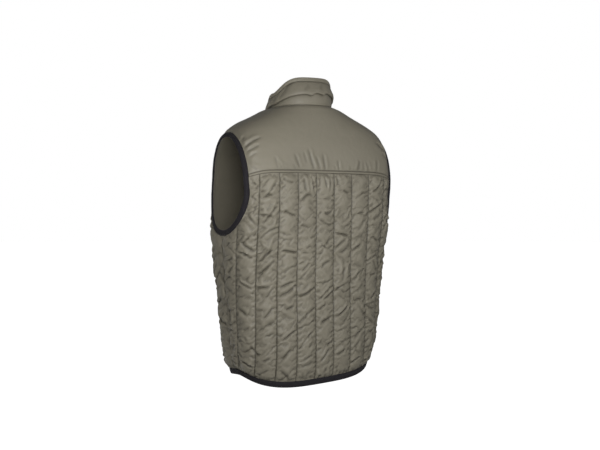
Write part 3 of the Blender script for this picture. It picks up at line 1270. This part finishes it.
# One stitch: a small rounded length of thread, along X
def stitchPart(tree, given):
    ball = newNode(tree, "GeometryNodeMeshUVSphere", {"Segments": 5, "Rings": 4, "Radius": 0.5})
    return sized(tree, ball.outputs["Mesh"], given["Long"], given["Thick"], given["Thick"])


stitchesAlong = alongPathTree("stitchesAlongPath", stitchPart)


def pathObject(name, paths):
    points, edges = [], []
    for path in paths:
        base = len(points)
        points += (np.asarray(path) * metre).tolist()
        edges += [(base + i, base + i + 1) for i in range(len(path) - 1)]
    mesh = bpy.data.meshes.new(name)
    mesh.from_pydata(points, edges, [])
    return linked(name, mesh)


def partsAlong(name, paths, pathTree, sizes, material):
    sharp = 50
    tree, sockets = pathTree
    piece = pathObject(name, paths)
    modifier = piece.modifiers.new("parts", "NODES")
    modifier.node_group = tree
    for label, value in {**sizes, "Finish": material}.items():
        modifier[sockets[label]] = value
    bpy.context.view_layer.update()
    evaluated = piece.evaluated_get(bpy.context.evaluated_depsgraph_get())
    mesh = bpy.data.meshes.new_from_object(evaluated)
    piece.modifiers.clear()
    piece.data = mesh
    mesh.shade_smooth()
    mesh.set_sharp_from_angle(angle=math.radians(sharp))
    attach(piece, "vest")
    return piece


threads = {"quilt": {"Spacing": 0.0032, "Long": 0.0025, "Thick": 0.0008, "Unevenness": 0.12, "Seed": 3},
           "top": {"Spacing": 0.003, "Long": 0.0024, "Thick": 0.0008, "Unevenness": 0.1, "Seed": 4},
           "elastic": {"Spacing": 0.003, "Long": 0.0023, "Thick": 0.0007, "Unevenness": 0.1, "Seed": 5}}
elasticPaths = [armStitch, mirroredX(armStitch), hemStitch]
partsAlong("quilting_stitches", quiltPaths, stitchesAlong, threads["quilt"], shellThread)
partsAlong("top_stitches", yokePaths + collarPaths, stitchesAlong, threads["top"], shellThread)
partsAlong("elastic_stitches", elasticPaths, stitchesAlong, threads["elastic"], darkThread)
print("stage: stitches ready")

# Zip: tapes, teeth, box, slider and pull tab. Levels count the rings, and a tooth's sizes are in metres.
zipSizes = {"tapeFrom": 0.9, "tapeTo": 14, "tapeFace": -0.8, "tapeThick": 1.0, "tapeTop": 17.5,
            "tapeRows": 150, "from": 0.55, "to": 17.12, "pitch": 2.7, "toothSunk": 0.4, "toothOut": 0.65,
            "toothTall": 1.4, "tapeBottom": (0.02, 0.2), "tapeRowsFrom": 0.4, "guides": 900,
            "spare": 1}
# Across a tape from the teeth to its free edge: the place, and how proud the corded edge lies there
tapeProfile = np.array([[zipSizes["tapeFrom"], 0.25], [2.8, 0.35], [5, 0], [8, 0], [11, 0], [13.4, 0],
                        [zipSizes["tapeTo"], -0.1]])
toothSizes = {"Spacing": 0.05, "Long": 0.0033, "Thick": 0.00135, "Unevenness": 0.0, "Seed": 1}


def zipNormal(level, phi):
    spread = 0.3
    return unit(clothNormal(phi, level - spread) + clothNormal(phi, np.minimum(level + spread, topLevel)))


def zipTape(side):
    rows = np.linspace(zipSizes["tapeRowsFrom"], zipSizes["tapeTop"], zipSizes["tapeRows"])
    levels = np.concatenate([zipSizes["tapeBottom"], rows])
    lengths = lengthsAt(levels)
    across, bead = tapeProfile[:, 0], tapeProfile[None, :, 1:]
    phi = anglesAt(lengths, lengths[:, -1:] - across[None, :])
    if side < 0:
        phi = math.pi - phi
    level = np.repeat(levels[:, None], len(across), 1)
    point, normal = clothPoint(phi, level), zipNormal(level, phi)
    outer = point + normal * (zipSizes["tapeFace"] + bead)
    inner = point + normal * (zipSizes["tapeFace"] - zipSizes["tapeThick"])
    index = np.arange(level.size).reshape(level.shape)
    rise = 40  # millimetres to a level, for the weave
    uv = np.stack(np.broadcast_arrays(across[None, :], (levels * rise)[:, None]), -1)
    word = "left" if side > 0 else "right"
    plain = {"fold": 0 * level, "seam": 0 * level}
    piece = clothShell("zip_tape_cloth_" + word, outer, inner, index, uv, plain)
    finishPiece(piece, tapeCloth, nodes=["zip_tape_" + word])


zipTape(1)
zipTape(-1)


# A tooth: a short round bar across the zip, laid along X before the path's turn
def toothPart(tree, given):
    bar = newNode(tree, "GeometryNodeMeshCylinder", {"Vertices": 8, "Radius": 0.5, "Depth": 1.0})
    laid = newNode(tree, "GeometryNodeTransform",
                   {"Rotation": (0, math.pi / 2, 0), "Geometry": bar.outputs["Mesh"]}).outputs["Geometry"]
    deep = mathNode(tree, "MULTIPLY", given["Thick"], zipSizes["toothTall"])
    return sized(tree, laid, given["Long"], deep, given["Thick"])


# Places down the zip for one side's teeth, which stand half a pitch off the other side's
def toothRow(side):
    levels = np.linspace(zipSizes["from"], zipSizes["to"], zipSizes["guides"])
    phi = np.full(levels.shape, -math.pi / 2)
    point, normal = clothPoint(phi, levels), zipNormal(levels, phi)
    along = lengthsAlong(point)
    first = zipSizes["pitch"] * (0.5 if side > 0 else 1.0)
    stops = np.arange(first, along[-1] - zipSizes["spare"], zipSizes["pitch"])
    spot, out = (np.stack([np.interp(stops, along, values[:, axis]) for axis in range(3)], -1)
                 for values in (point, normal))
    return spot, unit(out)


def teeth(side):
    paths = []
    for p, n in zip(*toothRow(side)):
        middle = p - n * zipSizes["toothSunk"] + np.array([side * zipSizes["toothOut"], 0, 0])
        paths.append([middle, middle + np.array([side, 0, 0])])
    word = "left" if side > 0 else "right"
    piece = partsAlong("zip_teeth_row_" + word, paths, teethAlong, toothSizes, zipMetal)
    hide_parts("zip_teeth_" + word)


teethAlong = alongPathTree("teethAlongPath", toothPart)
teeth(1)
teeth(-1)

# The zip's metal fittings: copies of the frame's own, with their corners eased
fittings = {"ease": 0.00035, "segments": 3, "cornerOver": 30, "flatUnder": 2, "welded": 0.00001}


def fitting(node, body):
    work = bmesh.new()
    work.from_mesh(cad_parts[node].data)
    bmesh.ops.remove_doubles(work, verts=work.verts, dist=fittings["welded"])
    flat, over = math.radians(fittings["flatUnder"]), math.radians(fittings["cornerOver"])
    bmesh.ops.dissolve_limit(work, angle_limit=flat, verts=work.verts, edges=work.edges)
    corners = [edge for edge in work.edges if len(edge.link_faces) == 2 and edge.calc_face_angle() > over]
    bmesh.ops.bevel(work, geom=corners, offset=fittings["ease"], segments=fittings["segments"], profile=0.5,
                    affect="EDGES", clamp_overlap=True)
    bmesh.ops.triangulate(work, faces=work.faces)
    mesh = bpy.data.meshes.new(node + "_metal")
    work.to_mesh(mesh)
    work.free()
    mesh.shade_smooth()
    mesh.set_sharp_from_angle(angle=over)
    finishPiece(linked(node + "_metal", mesh), zipMetal, body, [node])


fitting("zip_box", "vest")
fitting("zip_slider", "vest")
fitting("zip_pull", "pull")
print("stage: zip ready")

# Stage: a wide pale floor, soft lights and the camera where the photo was taken
stage = {"floor": -1.15, "reach": 60.0, "corners": 64, "floorShade": (0.86, 0.86, 0.85, 1), "floorGlow": 1.0,
         "cameraTurn": 150, "cameraAway": 3.0, "cameraHeight": -0.282, "lens": 75.0, "backdrop": 1.0,
         "surroundings": 0.21, "overhead": 0.05, "lightsAim": (0, 0, -0.3), "floorRoughness": 0.9,
         "sensor": 36}
lamps = [
    # name, place, width, power, and whether it shows in glossy reflections
    ("key", (0.45, 0.85, -0.12), 0.42, 6.4, True),
    ("fill", (-0.42, 1.1, 0.05), 0.8, 2.8, True),
    ("front", (0.6, -2.8, 0.1), 2.0, 52, False),
]


def paleFloor():
    mesh = bpy.data.meshes.new("floor")
    count = stage["corners"]
    around = [2 * math.pi * i / count for i in range(count)]
    points = [(0, 0, stage["floor"])]
    points += [(stage["reach"] * math.cos(a), stage["reach"] * math.sin(a), stage["floor"]) for a in around]
    mesh.from_pydata(points, [], [[0, i + 1, (i + 1) % count + 1] for i in range(count)])
    floor = linked("floor", mesh)
    material, tree, shader = newMaterial("paleFloor")
    rays = newNode(tree, "ShaderNodeLightPath")
    glow = mathNode(tree, "MULTIPLY", rays.outputs["Is Camera Ray"], stage["floorGlow"])
    feed(tree, shader, {"Base Color": stage["floorShade"], "Roughness": stage["floorRoughness"],
                        "Emission Color": (1, 1, 1, 1), "Emission Strength": glow})
    floor.data.materials.append(material)


# An object turned so that its own -Z looks at a point
def aimed(made, place, target):
    made.location = place
    made.rotation_mode = "QUATERNION"
    made.rotation_quaternion = (Vector(target) - Vector(place)).to_track_quat("-Z", "Y")
    return made


def softLight(name, place, size, power, glossy):
    data = bpy.data.lights.new(name, "AREA")
    data.shape = "DISK"
    data.size = size
    data.energy = power
    aimed(linked(name, data), place, stage["lightsAim"]).visible_glossy = glossy


paleFloor()
for lamp in lamps:
    softLight(*lamp)


# White behind the vest, and gentler surroundings for its light that are darker overhead
def studioWorld():
    world = bpy.data.worlds.new("studio")
    bpy.context.scene.world = world
    world.use_nodes = True
    tree = world.node_tree
    where = newNode(tree, "ShaderNodeTexCoord")
    parts = newNode(tree, "ShaderNodeSeparateXYZ", {0: where.outputs["Generated"]})
    upwards = mathNode(tree, "MAXIMUM", parts.outputs["Z"], 0.0)
    around = mathNode(tree, "MULTIPLY_ADD", upwards, stage["overhead"] - stage["surroundings"],
                      stage["surroundings"])
    rays = newNode(tree, "ShaderNodeLightPath")
    mixed = newNode(tree, "ShaderNodeMix", {"Factor": rays.outputs["Is Camera Ray"], "A": around,
                                            "B": stage["backdrop"]})
    feed(tree, tree.nodes["Background"], {"Color": (1, 1, 1, 1), "Strength": mixed.outputs["Result"]})


studioWorld()
bpy.context.scene.view_settings.view_transform = "Standard"

cameraData = bpy.data.cameras.new("camera")
cameraData.lens = stage["lens"]
cameraData.sensor_width = stage["sensor"]
turned = math.radians(stage["cameraTurn"])
cameraPlace = (math.sin(turned) * stage["cameraAway"], -math.cos(turned) * stage["cameraAway"],
               stage["cameraHeight"])
camera = aimed(linked("camera", cameraData), cameraPlace, (0, 0, stage["cameraHeight"]))
bpy.context.scene.camera = camera

bpy.context.view_layer.update()
print("stage: all ready")
